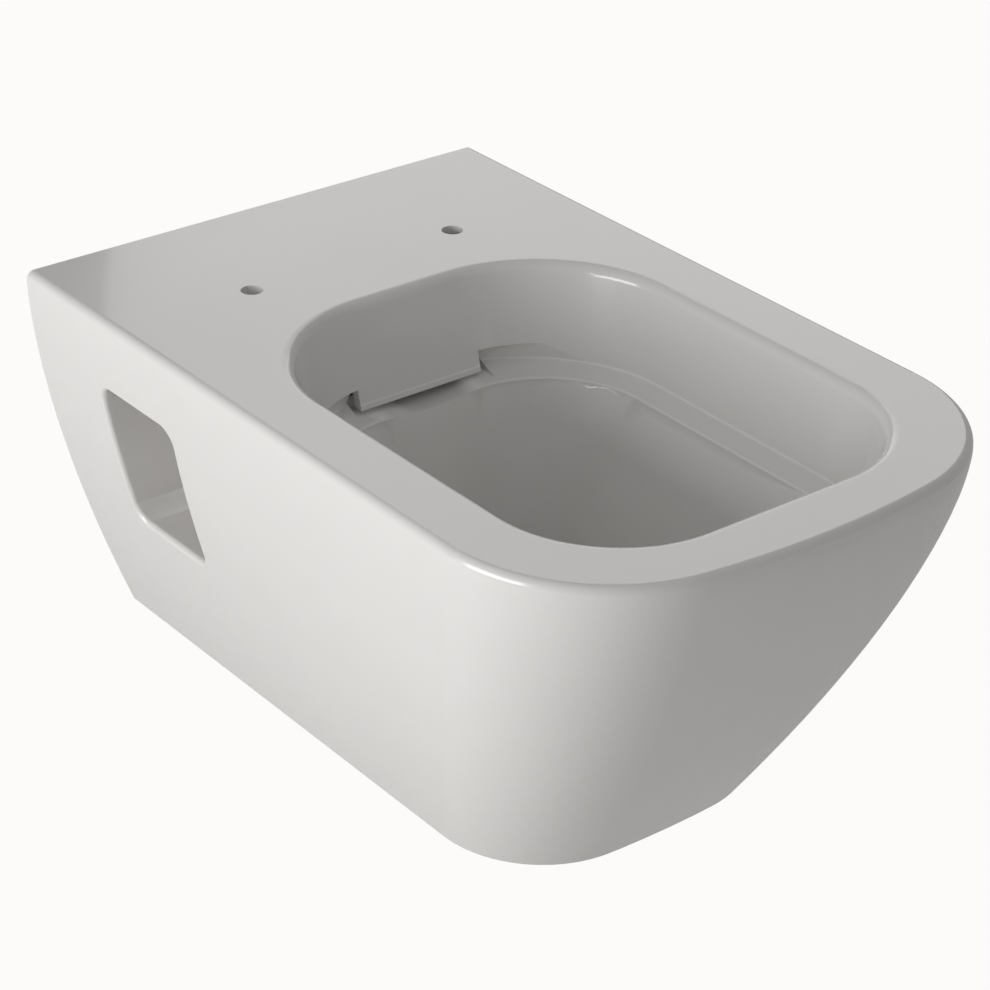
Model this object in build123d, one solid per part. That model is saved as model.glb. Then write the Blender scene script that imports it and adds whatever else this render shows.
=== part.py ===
from build123d import *
import math
import os

# Wall hung pan with a flushed ledge instead of a rim, in millimetres. The origin is on the wall
# face, midway between the two wall fixings. +X is right as seen from the front, -Y points away
# from the wall and +Z is up. Depths below are measured down from the top of the pan.

# Pan, outside
fixing_drop = 80.0
pan_width = 350.0
pan_length = 540.0
skirt_drop = 260.0
base_width = 218.0
base_length = 418.0
top_band = 8.0
side_curve = 1.55
front_curve = 1.30
top_corner_radius = 108.0
top_front_radius = 570.0
base_corner_radius = 73.0
base_front_radius = 660.0
top_edge_radius = 5.5
foot_edge_radius = 2.0
china_wall = 11.0
deck_thickness = 14.0
rear_wall = 12.0
rear_wall_drop = 112.0

# Bowl
bowl_half_width = 128.5
bowl_back = 157.0
bowl_front = 495.0
bowl_back_corner = 94.0
bowl_front_corner = 77.0
bowl_edge_radius = 8.0
wall_lean = 9.5
apron_lean = 18.5
bowl_wall = 12.0

# Ledge that carries the flush water round the bowl
ledge_drop = 60.0
ledge_fall = 8.0
ledge_width = 12.0
ledge_recess = 14.0
ledge_recess_height = 10.0
ledge_back_width = 26.0
ledge_back_corner = 104.0
lip_back_corner = 70.0
lip_front_corner = 58.0

# Sump
sump_half_width = 34.0
sump_back = 236.0
sump_front = 318.0
sump_corner = 24.0
sump_floor_radius = 14.0
bowl_side_curve = 1.8
bowl_back_curve = 1.2
bowl_front_curve = 1.5

# Apron and the flush chamber behind it
apron_half_width = 46.5
apron_drop = 64.0
apron_thickness = 7.0
chamber_half_width = 52.0
chamber_roof_drop = 22.0
chamber_length = 12.0
slot_dip = 4.0
slot_reach = 8.0

# Trap and its outlet
outlet_drop = 180.0
outlet_bore = 84.0
spigot_diameter = 102.0
spigot_setback = 4.0
spigot_length = 42.0
water_drop = 145.0
trap_bore = 50.0
trap_wall = 8.0
trap_bend = 44.0
trap_step = 1.5
dip_setback = 252.0
rise_setback = 204.0
weir_back = 150.0
weir_straight = 2.5

# Flush inlet
inlet_drop = 45.0
inlet_bore = 55.0
inlet_socket_length = 48.0
duct_half_width = 30.0
duct_height = 34.0
duct_wall = 9.0

# Side windows
window_back = 75.0
window_length = 78.0
window_top_drop = 50.0
window_height = 100.0
window_corner = 11.0
window_edge_radius = 3.5
pocket_inner = 66.0
pocket_wall = 9.0

# Wall fixings and seat holes
fixing_spacing = 180.0
fixing_hole = 22.0
fixing_tube_wall = 9.0
seat_hole = 14.0
seat_hole_spacing = 155.0
seat_hole_setback = 105.0

# Fixing hardware
rod_diameter = 12.0
rod_shank_diameter = 10.9
rod_into_wall = 45.0
wall_thread_length = 57.0
nut_thread_length = 30.0
rod_clearance = 0.35
sleeve_play = 0.3
sleeve_setback = 14.0
plastic_washer_diameter = 34.0
plastic_washer_thickness = 3.0
steel_washer_diameter = 24.0
steel_washer_thickness = 2.5
nut_flats = 19.0
nut_height = 10.0
nut_chamfer = 1.0
rod_past_nut = 7.0
cap_play = 0.4
cap_wall = 2.0
cap_nose_radius = 4.0
seat_play = 0.3

# Flush pipe and waste connector
flush_pipe_diameter = 45.0
flush_pipe_wall = 2.0
flush_pipe_into_pan = 42.0
flush_pipe_behind_wall = 28.0
pipe_mark_width = 1.0
pipe_mark_depth = 0.4
inlet_seal_depth = 34.0
inlet_seal_setback = 2.0
inlet_seal_groove = 2.5
waste_pipe_diameter = 90.0
waste_pipe_wall = 3.0
waste_pipe_behind_wall = 60.0
waste_socket_wall = 3.5
waste_socket_cover = 34.0
waste_shoulder_gap = 6.0
waste_socket_room = 2.0
seal_play = 0.3
outlet_seal_thickness = 4.0
outlet_seal_length = 24.0
outlet_seal_mouth_gap = 4.0

EPS = 0.01
OVER = 1.0


def height(drop):
    """Height of a point that lies so far below the top of the pan."""
    return fixing_drop - drop


def box_between(x0, x1, y0, y1, z0, z1):
    """Block between two corners."""
    block = Box(abs(x1 - x0), abs(y1 - y0), abs(z1 - z0))
    return Pos((x0 + x1) / 2, (y0 + y1) / 2, (z0 + z1) / 2) * block


def bar_y(radius, y0, y1, x=0.0, z=0.0):
    """Round bar along Y."""
    bar = Cylinder(radius, abs(y1 - y0), rotation=(90, 0, 0))
    return Pos(x, (y0 + y1) / 2, z) * bar


def ring_y(outer, inner, y0, y1, x=0.0, z=0.0):
    """Round tube along Y."""
    return bar_y(outer, y0, y1, x, z) - bar_y(inner, y0 - OVER, y1 + OVER, x, z)


def raised(wire, amount):
    """Upright solid from a level outline, upwards for a positive amount and downwards otherwise."""
    return extrude(Face(wire), amount=abs(amount), dir=(0, 0, math.copysign(1, amount)))


def skirt_wire(half_width, length, corner, front, back=0.0):
    """Plan outline of the pan: flat at the wall, straight sides, round corners, bowed front."""
    front_centre = -length + front
    corner_x = half_width - corner
    corner_y = front_centre - math.sqrt((front - corner) ** 2 - corner_x**2)
    turn = math.degrees(math.atan2(corner_y - front_centre, corner_x))
    right = CenterArc((corner_x, corner_y), corner, 0, turn)
    left = CenterArc((-corner_x, corner_y), corner, 180 - turn, turn)
    bow = ThreePointArc(right @ 1, (0, -length), left @ 0)
    right_side = Line((half_width, back), right @ 0)
    left_side = Line(left @ 1, (-half_width, back))
    wall = Line((-half_width, back), (half_width, back))
    return Wire([right_side, right, bow, left, left_side, wall])


def skirt_section(share, inset=0.0, back=0.0):
    """Plan outline at a share of the way down the skirt, moved inwards by an inset."""
    half_width = pan_width / 2 - (pan_width - base_width) / 2 * share**side_curve
    length = pan_length - (pan_length - base_length) * share**front_curve
    corner = top_corner_radius + (base_corner_radius - top_corner_radius) * share
    front = top_front_radius + (base_front_radius - top_front_radius) * share
    return skirt_wire(half_width - inset, length - inset, corner - inset, front - inset, back)


def skirt_loft(inset, back):
    """Curved part of the skirt below its upright top band, moved inwards by an inset."""
    steps = 8
    wires = []
    for step in range(steps + 1):
        share = step / steps
        drop = top_band + (skirt_drop - top_band) * share
        wires.append(Pos(0, 0, height(drop)) * skirt_section(share, inset, back))
    return Solid.make_loft(wires)


def skirt_outside():
    """Outside of the pan, with the rounded edge round the top."""
    band = raised(Pos(0, 0, height(top_band)) * skirt_section(0), top_band)
    rim = [e for e in band.edges() if e.center().Z > fixing_drop - EPS and e.center().Y < -EPS]
    skirt = skirt_loft(0.0, 0.0)
    foot = [e for e in skirt.edges() if e.center().Z < height(skirt_drop) + EPS and e.center().Y < -EPS]
    return fillet(rim, top_edge_radius) + fillet(foot, foot_edge_radius)


def skirt_inside():
    """Hollow inside the skirt, between the deck and the floor and open at the wall."""
    hollow = skirt_loft(china_wall, china_wall)
    top = height(deck_thickness)
    bottom = height(skirt_drop - china_wall)
    return hollow & box_between(-pan_width, pan_width, -pan_length, china_wall, bottom, top)


def bowl_wire(half_width, back, front, back_corner, front_corner):
    """Plan outline of the bowl at one level: straight sides and four round corners."""
    x_back = half_width - back_corner
    x_front = half_width - front_corner
    back_right = CenterArc((x_back, -back - back_corner), back_corner, 90, -90)
    front_right = CenterArc((x_front, -front + front_corner), front_corner, 0, -90)
    front_left = CenterArc((-x_front, -front + front_corner), front_corner, -90, -90)
    back_left = CenterArc((-x_back, -back - back_corner), back_corner, 180, -90)
    edges = [
        back_right,
        Line(back_right @ 1, front_right @ 0),
        front_right,
        Line(front_right @ 1, front_left @ 0),
        front_left,
        Line(front_left @ 1, back_left @ 0),
        back_left,
        Line(back_left @ 1, back_right @ 0),
    ]
    return Wire(edges)


def lip_drop():
    """Depth of the ledge's inner edge."""
    return ledge_drop + ledge_fall


def sump_drop():
    """Depth of the sump's floor, which is also the floor of the pan."""
    return skirt_drop - china_wall


def between(lip, sump, share):
    """Size at a share of the way from the ledge's lip, where it is largest, to the sump."""
    return sump + (lip - sump) * share


def bowl_level(drop, grow=0.0):
    """Bowl outline below the ledge, from its lip to the floor of the sump."""
    left = (sump_drop() - drop) / (sump_drop() - lip_drop())
    lip_half = bowl_half_width - wall_lean - ledge_width
    lip_back = bowl_back + apron_lean - ledge_recess + ledge_back_width
    lip_front = bowl_front - wall_lean - ledge_width
    outline = bowl_wire(
        between(lip_half, sump_half_width, left**bowl_side_curve) + grow,
        between(lip_back, sump_back, left**bowl_back_curve) - grow,
        between(lip_front, sump_front, left**bowl_front_curve) + grow,
        between(lip_back_corner, sump_corner, left**bowl_side_curve) + grow,
        between(lip_front_corner, sump_corner, left**bowl_side_curve) + grow,
    )
    return Pos(0, 0, height(drop)) * outline


def wall_back(drop):
    """Distance from the house wall to the back of the bowl above the ledge."""
    return bowl_back + apron_lean * drop / ledge_drop


def wall_level(drop, grow=0.0):
    """Bowl outline above the ledge, where the wall leans inwards on its way down."""
    lean = wall_lean * drop / ledge_drop
    outline = bowl_wire(
        bowl_half_width - lean + grow,
        wall_back(drop) - grow,
        bowl_front - lean + grow,
        bowl_back_corner - lean + grow,
        bowl_front_corner - lean + grow,
    )
    return Pos(0, 0, height(drop)) * outline


def ledge_level(drop, grow=0.0):
    """Outer outline of the ledge, set back behind the apron."""
    outline = bowl_wire(
        bowl_half_width - wall_lean + grow,
        bowl_back + apron_lean - ledge_recess - grow,
        bowl_front - wall_lean + grow,
        ledge_back_corner + grow,
        bowl_front_corner - wall_lean + grow,
    )
    return Pos(0, 0, height(drop)) * outline


def bowl_upper(grow=0.0):
    """Space inside the leaning wall above the ledge."""
    return Solid.make_loft([wall_level(0, grow), wall_level(ledge_drop, grow)], ruled=True)


def bowl_mouth():
    """Space inside the leaning wall, opening out at the rounded edge of the deck."""
    side = pan_width / 2
    above = box_between(-side, side, -pan_length, 0, fixing_drop, fixing_drop + bowl_edge_radius)
    cutter = bowl_upper() + above
    edge = [e for e in cutter.edges() if abs(e.center().Z - fixing_drop) < EPS and on_bowl_edge(e)]
    return fillet(edge, bowl_edge_radius)


def on_bowl_edge(edge):
    """True for an edge of the bowl's mouth, not of the plate above it."""
    point = edge.center()
    return abs(point.X) < pan_width / 2 - EPS and -pan_length + EPS < point.Y < -EPS


def bowl_lower(grow=0.0):
    """Space below the ledge, down to the floor of the sump."""
    steps = 7
    wires = []
    for step in range(steps + 1):
        wires.append(bowl_level(lip_drop() + (sump_drop() - lip_drop()) * step / steps, grow))
    return Solid.make_loft(wires)


def bowl_space():
    """Space of the whole bowl, with the rounded floor of the sump."""
    lower = bowl_lower()
    floor = [e for e in lower.edges() if e.center().Z < height(sump_drop()) + EPS]
    return fillet(floor, sump_floor_radius) + ledge_space()


def cosd(angle):
    """Cosine of an angle in degrees."""
    return math.cos(math.radians(angle))


def dip_centre():
    """Height of the trap's centre line where it leaves the sump."""
    return height(sump_drop() - trap_step - trap_bore / 2)


def weir_centre():
    """Height of the trap's centre line over the weir, which holds the water level."""
    return height(water_drop - trap_bore / 2)


def weir_front():
    """Distance from the house wall to the end of the weir, just past its bend."""
    turn = math.atan2(weir_centre() - dip_centre(), rise_setback - weir_back)
    return weir_back - trap_bend * math.tan(turn / 2) - weir_straight


def trap_rise(grow=0.0):
    """Round passage from the sump, under the dip and up to the weir."""
    corners = [
        (0, -dip_setback, dip_centre()),
        (0, -rise_setback, dip_centre()),
        (0, -weir_back, weir_centre()),
        (0, -weir_front(), weir_centre()),
    ]
    path = FilletPolyline(*corners, radius=trap_bend)
    frame = Plane(origin=path @ 0, x_dir=(1, 0, 0), z_dir=path % 0)
    return sweep(frame * Circle(trap_bore / 2 + grow), path=path)


def trap_fall(grow=0.0):
    """Passage from the weir down to the outlet, opening out on the way."""
    steps = 6
    wires = []
    for step in range(steps + 1):
        share = step / steps
        ease = share * share * (3 - 2 * share)
        y = weir_front() + (spigot_length - weir_front()) * share
        z = weir_centre() + (height(outlet_drop) - weir_centre()) * ease
        radius = (trap_bore + (outlet_bore - trap_bore) * ease) / 2 + grow
        frame = Plane(origin=(0, -y, z), x_dir=(1, 0, 0), z_dir=(0, 1, 0))
        wires.append(frame * Wire(Edge.make_circle(radius)))
    return Solid.make_loft(wires)


def trap_space():
    """The trap's whole passage with its straight outlet."""
    outlet = bar_y(outlet_bore / 2, -spigot_length, 0, z=height(outlet_drop))
    return trap_rise() + trap_fall() + outlet


def trap_shell():
    """China round the trap and the spigot at its end."""
    spigot = bar_y(spigot_diameter / 2, -spigot_length - OVER, -spigot_setback, z=height(outlet_drop))
    return trap_rise(trap_wall) + trap_fall(trap_wall) + spigot


def bowl_shell():
    """China round the bowl and the ledge, down into the floor of the pan."""
    collar_wires = [
        ledge_level(deck_thickness, bowl_wall),
        ledge_level(ledge_drop + bowl_wall, bowl_wall),
        bowl_level(lip_drop() + 2 * bowl_wall),
    ]
    shell = bowl_upper(bowl_wall) + Solid.make_loft(collar_wires, ruled=True)
    foot = raised(bowl_level(sump_drop(), bowl_wall), -china_wall / 2)
    return shell + bowl_lower(bowl_wall) + foot


def flush_chamber(grow=0.0):
    """Space behind the apron that spreads the flush along the ledge."""
    roof = chamber_roof_drop - grow
    floor = ledge_drop + grow
    back = bowl_back - chamber_length - grow
    outline = Polyline(
        (-back, height(roof)),
        (apron_thickness - grow - wall_back(roof), height(roof)),
        (apron_thickness - grow - wall_back(floor), height(floor)),
        (-back, height(floor)),
        close=True,
    )
    face = Plane.YZ * make_face(outline)
    return extrude(face, amount=chamber_half_width + grow, both=True)


def flush_duct(grow=0.0):
    """Inlet socket and the duct from it to the chamber."""
    centre = height(inlet_drop)
    socket = bar_y(inlet_bore / 2 + grow, -inlet_socket_length - grow / 2, 0, z=centre)
    half = duct_half_width + grow
    rise = duct_height / 2 + grow
    front = chamber_length - bowl_back - OVER
    duct = box_between(-half, half, front, OVER - inlet_socket_length, centre - rise, centre + rise)
    return socket + duct


def apron():
    """Tongue of the back wall that hangs in front of the flush slot."""
    top = ledge_drop - ledge_recess_height - OVER
    outline = Polyline(
        (-wall_back(top), height(top)),
        (-wall_back(apron_drop), height(apron_drop)),
        (apron_thickness - wall_back(apron_drop), height(apron_drop)),
        (apron_thickness - wall_back(top), height(top)),
        close=True,
    )
    face = Plane.YZ * make_face(outline)
    return extrude(face, amount=apron_half_width, both=True)


def slot_scoop():
    """Shallow dip across the back of the ledge that deepens the slot under the apron."""
    half = chamber_half_width
    back = ledge_recess - bowl_back - apron_lean
    front = back - ledge_back_width - slot_reach
    radius = (half**2 + slot_dip**2) / (2 * slot_dip)
    lowest = height(lip_drop() + slot_dip / 2)
    hollow = bar_y(radius, front, back, z=lowest + radius)
    return hollow & box_between(-half, half, front, back, lowest, height(ledge_drop))


def ledge_space():
    """Space over the sloping ledge, with the recess round it and the dip under the apron."""
    roof = ledge_level(ledge_drop - ledge_recess_height)
    recess = Solid.make_loft([roof, ledge_level(ledge_drop)], ruled=True)
    slope = Solid.make_loft([ledge_level(ledge_drop), bowl_level(lip_drop())], ruled=True)
    return recess + slope + slot_scoop()


def window_prism(side, x_from):
    """Rounded rectangle of the side window, carried inwards."""
    middle = -window_back - window_length / 2
    frame = Plane(
        origin=(side * x_from, middle, height(window_top_drop + window_height / 2)),
        x_dir=(0, 1, 0),
        z_dir=(side, 0, 0),
    )
    shape = frame * RectangleRounded(window_length, window_height, window_corner)
    return extrude(shape, amount=pan_width / 2 + OVER - x_from)


def pocket_block(side):
    """Solid block that the pocket behind a side window is hollowed from."""
    return box_between(
        side * (pocket_inner - pocket_wall),
        side * pan_width,
        -window_back - window_length - pocket_wall,
        -window_back + pocket_wall,
        height(window_top_drop + window_height + pocket_wall),
        height(OVER),
    )


def pocket_space(side, inside):
    """Hollow behind a side window, open to the window and up to the deck."""
    upper = box_between(
        side * pocket_inner,
        side * pan_width,
        -window_back - window_length,
        -window_back,
        height(window_top_drop + window_height / 2),
        height(deck_thickness),
    )
    return (upper & inside) + window_prism(side, pocket_inner)


def fixing_axis(side):
    """Sideways place of a wall fixing."""
    return side * fixing_spacing / 2


def surface_half_width(drop):
    """Half the width of the pan at a depth."""
    share = max(0.0, (drop - top_band) / (skirt_drop - top_band))
    return pan_width / 2 - (pan_width - base_width) / 2 * share**side_curve


def on_window_rim(edge):
    """True for an edge where a side window meets the outside of the skirt."""
    point = edge.center()
    drop = fixing_drop - point.Z
    in_length = -window_back - window_length - OVER < point.Y < OVER - window_back
    in_height = window_top_drop - OVER < drop < window_top_drop + window_height + OVER
    return in_length and in_height and abs(abs(point.X) - surface_half_width(drop)) < OVER


def pan_solid(outer, hollow):
    """China of the pan before its bowl, passages, windows and holes are opened."""
    rear = box_between(-pan_width, pan_width, -rear_wall, 0, height(rear_wall_drop), height(OVER))
    body = (outer - hollow) + (rear & outer)
    body += bowl_shell() + trap_shell()
    body += flush_chamber(duct_wall) + flush_duct(duct_wall)
    for side in (-1, 1):
        body += pocket_block(side) & outer
        body += bar_y(fixing_hole / 2 + fixing_tube_wall, -window_back, 0, x=fixing_axis(side))
    return body


def pan():
    """The pan, one piece of glazed china."""
    outer = skirt_outside()
    hollow = skirt_inside()
    body = pan_solid(outer, hollow)
    body -= bowl_mouth()
    body -= bowl_space()
    body -= trap_space()
    body -= flush_chamber() + flush_duct()
    body += apron()
    body -= connector_room()
    for side in (-1, 1):
        body -= pocket_space(side, hollow)
        body -= bar_y(fixing_hole / 2, -window_back - OVER, OVER, x=fixing_axis(side))
        hole = Cylinder(seat_hole / 2, 2 * (deck_thickness + OVER))
        body -= Pos(side * seat_hole_spacing / 2, -seat_hole_setback, fixing_drop) * hole
    return fillet([e for e in body.edges() if on_window_rim(e)], window_edge_radius)


def turned(profile):
    """Solid turned about the Y axis from a closed list of (radius, y) points."""
    face = make_face(Polyline(*[(radius, y) for radius, y in profile], close=True))
    return revolve(face, axis=Axis.Y)


def threaded_rod(side):
    """Steel rod from the wall frame through the pan to the nut, threaded at both ends."""
    front = stack_front() - nut_height - rod_past_nut
    thread = rod_diameter / 2
    shank = rod_shank_diameter / 2
    run_out = thread - shank
    rod = turned(
        [
            (0, rod_into_wall),
            (thread - nut_chamfer, rod_into_wall),
            (thread, rod_into_wall - nut_chamfer),
            (thread, rod_into_wall - wall_thread_length),
            (shank, rod_into_wall - wall_thread_length - run_out),
            (shank, front + nut_thread_length + run_out),
            (thread, front + nut_thread_length),
            (thread, front + nut_chamfer),
            (thread - nut_chamfer, front),
            (0, front),
        ]
    )
    return Pos(fixing_axis(side), 0, 0) * rod


def sleeve(side):
    """Plastic tube that keeps the rod off the china."""
    outer = fixing_hole / 2 - sleeve_play
    inner = rod_diameter / 2 + rod_clearance
    return ring_y(outer, inner, -window_back, -sleeve_setback, x=fixing_axis(side))


def plastic_washer(side):
    """Soft washer against the china."""
    inner = rod_diameter / 2 + rod_clearance
    front = -window_back - plastic_washer_thickness
    return ring_y(plastic_washer_diameter / 2, inner, front, -window_back, x=fixing_axis(side))


def steel_washer(side):
    """Flat washer under the nut."""
    inner = rod_diameter / 2 + rod_clearance
    back = -window_back - plastic_washer_thickness
    front = back - steel_washer_thickness
    return ring_y(steel_washer_diameter / 2, inner, front, back, x=fixing_axis(side))


def stack_front():
    """Front face of the washers, where the nut sits."""
    return -window_back - plastic_washer_thickness - steel_washer_thickness


def nut_corner():
    """Distance from the nut's axis to its corners."""
    return nut_flats / 2 / cosd(30)


def nut(side):
    """Hexagon nut with chamfered corners."""
    back = stack_front()
    hexagon = extrude(Plane.XZ * RegularPolygon(nut_corner(), 6), amount=nut_height)
    body = Pos(0, back, 0) * hexagon
    crown = turned(
        [
            (0, back),
            (nut_corner() - nut_chamfer, back),
            (nut_corner(), back - nut_chamfer),
            (nut_corner(), back - nut_height + nut_chamfer),
            (nut_corner() - nut_chamfer, back - nut_height),
            (0, back - nut_height),
        ]
    )
    body &= crown
    body -= bar_y(rod_diameter / 2, back - nut_height - OVER, back + OVER)
    return Pos(fixing_axis(side), 0, 0) * body


def cover_cap(side):
    """Plastic cap pushed over the nut."""
    inner = nut_corner() + cap_play
    outer = inner + cap_wall
    mouth = stack_front() - seat_play
    floor = stack_front() - nut_height - rod_past_nut - cap_wall
    nose = floor - cap_wall
    body = bar_y(outer, nose, mouth)
    edge = body.edges().filter_by(GeomType.CIRCLE).sort_by(Axis.Y)[0]
    body = fillet(edge, cap_nose_radius)
    body -= bar_y(inner, floor, mouth + OVER)
    return Pos(fixing_axis(side), 0, 0) * body


def flush_pipe():
    """Plastic pipe from the cistern bend into the inlet socket, grooved where it passes the wall."""
    outer = flush_pipe_diameter / 2
    pipe = ring_y(outer, outer - flush_pipe_wall, -flush_pipe_into_pan, flush_pipe_behind_wall)
    pipe -= ring_y(outer + OVER, outer - pipe_mark_depth, 0, pipe_mark_width)
    return Pos(0, 0, height(inlet_drop)) * pipe


def inlet_seal():
    """Ribbed rubber cuff between the flush pipe and its socket."""
    inner = flush_pipe_diameter / 2 + seal_play
    outer = inlet_bore / 2 - seal_play
    ribs = 3
    pitch = inlet_seal_depth / (2 * ribs + 1)
    front = -inlet_seal_setback - inlet_seal_depth
    cuff = ring_y(outer - inlet_seal_groove, inner, front, -inlet_seal_setback)
    for rib in range(ribs + 1):
        back = -inlet_seal_setback - 2 * rib * pitch
        cuff += ring_y(outer, inner, back - pitch, back)
    return Pos(0, 0, height(inlet_drop)) * cuff


def socket_bore():
    """Inside radius of the waste connector's socket."""
    return spigot_diameter / 2 + outlet_seal_thickness


def connector_room():
    """Space round the spigot that the waste connector's socket slides into."""
    outer = socket_bore() + waste_socket_wall + waste_socket_room
    front = -spigot_setback - waste_socket_cover - waste_socket_room
    return ring_y(outer, spigot_diameter / 2, front, OVER, z=height(outlet_drop))


def outlet_seal():
    """Rubber ring between the spigot and the connector's socket."""
    mouth = -spigot_setback - waste_socket_cover
    back = mouth + outlet_seal_mouth_gap + outlet_seal_length
    inner = spigot_diameter / 2 + seal_play
    ring = ring_y(socket_bore() - seal_play, inner, mouth + outlet_seal_mouth_gap, back)
    return Pos(0, 0, height(outlet_drop)) * ring


def waste_connector():
    """Plastic connector from the spigot to the waste pipe in the wall."""
    socket_outer = socket_bore() + waste_socket_wall
    pipe_outer = waste_pipe_diameter / 2
    pipe_inner = pipe_outer - waste_pipe_wall
    mouth = -spigot_setback - waste_socket_cover
    shoulder = -spigot_setback + waste_shoulder_gap
    taper = socket_outer - pipe_outer
    body = turned(
        [
            (socket_bore(), mouth),
            (socket_outer, mouth),
            (socket_outer, shoulder + waste_socket_wall),
            (pipe_outer, shoulder + waste_socket_wall + taper),
            (pipe_outer, waste_pipe_behind_wall),
            (pipe_inner, waste_pipe_behind_wall),
            (pipe_inner, shoulder + taper),
            (socket_bore(), shoulder),
        ]
    )
    return Pos(0, 0, height(outlet_drop)) * body


def write(name, shape):
    """Write one piece to its own file."""
    shape.label = name
    export_step(shape, "parts/" + name + ".step")


os.makedirs("parts", exist_ok=True)
write("china_pan", pan())
write("flush_pipe", flush_pipe())
write("inlet_seal", inlet_seal())
write("outlet_seal", outlet_seal())
write("waste_connector", waste_connector())
for side, word in ((-1, "left"), (1, "right")):
    write("threaded_rod_" + word, threaded_rod(side))
    write("rod_sleeve_" + word, sleeve(side))
    write("plastic_washer_" + word, plastic_washer(side))
    write("steel_washer_" + word, steel_washer(side))
    write("nut_" + word, nut(side))
    write("cover_cap_" + word, cover_cap(side))
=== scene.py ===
import math

import bmesh
import bpy
from mathutils import Matrix, Vector


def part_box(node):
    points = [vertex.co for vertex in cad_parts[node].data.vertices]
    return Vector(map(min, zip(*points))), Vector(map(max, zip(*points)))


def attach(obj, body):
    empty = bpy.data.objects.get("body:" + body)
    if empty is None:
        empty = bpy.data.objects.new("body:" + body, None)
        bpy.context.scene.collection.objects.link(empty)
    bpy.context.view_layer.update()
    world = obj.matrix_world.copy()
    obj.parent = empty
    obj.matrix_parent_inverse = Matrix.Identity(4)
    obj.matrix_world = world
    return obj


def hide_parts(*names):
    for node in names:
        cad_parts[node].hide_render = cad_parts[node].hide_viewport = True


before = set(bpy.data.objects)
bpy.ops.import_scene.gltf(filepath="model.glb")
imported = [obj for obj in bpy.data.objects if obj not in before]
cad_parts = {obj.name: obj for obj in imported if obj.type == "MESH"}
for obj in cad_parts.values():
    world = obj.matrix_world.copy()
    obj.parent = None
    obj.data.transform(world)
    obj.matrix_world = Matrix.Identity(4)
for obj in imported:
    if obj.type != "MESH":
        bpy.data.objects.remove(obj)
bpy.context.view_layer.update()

# The pan: one slip-cast piece of vitreous china, fired white. Clear glaze covers all that can be
# seen. The back that meets the wall and the hollow behind the bowl stay bare.
pan_low, pan_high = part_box("china_pan")
pan_top, pan_foot = pan_high[2], pan_low[2]
pan_half, pan_length = pan_high[0], -pan_low[1]
top_band = 0.008
top_round = 0.0055
foot_round = 0.002
mouth_round = 0.008
sump_round = 0.014
base_half = 0.109
base_length = 0.418
side_curve, front_curve = 1.55, 1.30
corner_top, corner_base = 0.108, 0.073
bow_top, bow_base = 0.570, 0.660
recess_top = pan_top - 0.050
ledge_height = pan_top - 0.060
apron_foot = pan_top - 0.064
lip_height = pan_top - 0.068
sump_floor = pan_top - 0.249

# Outlines inside the bowl: half width, back, front, and the corner radii at the back and front.
mouth = (0.1285, 0.157, 0.495, 0.094, 0.077)
wall_foot = (0.119, 0.1755, 0.4855, 0.0845, 0.0675)
recess = (0.119, 0.1615, 0.4855, 0.104, 0.0675)
lip = (0.107, 0.1875, 0.4735, 0.070, 0.058)
sump = (0.034, 0.236, 0.318, 0.024, 0.024)
sump_curves = (1.8, 1.2, 1.5, 1.8, 1.8)

apron_half = 0.0465
apron_back, apron_front = -0.16, -0.19
apron_crease = math.radians(40)
apron_round = 0.0009
ledge_start = -0.27
ledge_crease = math.radians(12)
ledge_round = 0.0016
crease_angle = math.radians(32)
hollow_floor = Vector((0.09, -0.2, -0.169))
spigot_end = -0.0045
flat_area = 0.0003
flat_angle = math.radians(0.15)
form_angle = math.radians(14)
form_reach = 0.0006
form_margin = 0.0003
blend_angle = math.radians(28)
glaze_colour = (0.800, 0.787, 0.772)
glaze_pooled = (0.765, 0.752, 0.738)
# Paler colour painted along the ledge's two edges as a highlight on the glaze.
ledge_highlight_colour = (0.93, 0.92, 0.905)
glaze_surface = {"Grain": 900, "Drift": 9, "Depth": 0.000004, "Smooth": 0.16, "Rough": 0.24}
glaze_patch = 5.0
glaze_index = 1.52
glaze_coat = 0.6
glaze_coat_roughness = 0.06
flow_scale = 14
flow_depth = 0.00012
# Width of the painted highlight band at the ledge's edges, and where along the bowl it stops.
ledge_highlight_width = 0.0009
ledge_highlight_start = -0.16
ledge_highlight_inset = 0.045
bare_colour = (0.70, 0.66, 0.60)
bare_pale = (0.74, 0.70, 0.65)
bare_surface = {"Grain": 1500, "Drift": 60, "Depth": 0.00008, "Smooth": 0.72, "Rough": 0.9}
bare_patch = 30.0


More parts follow.
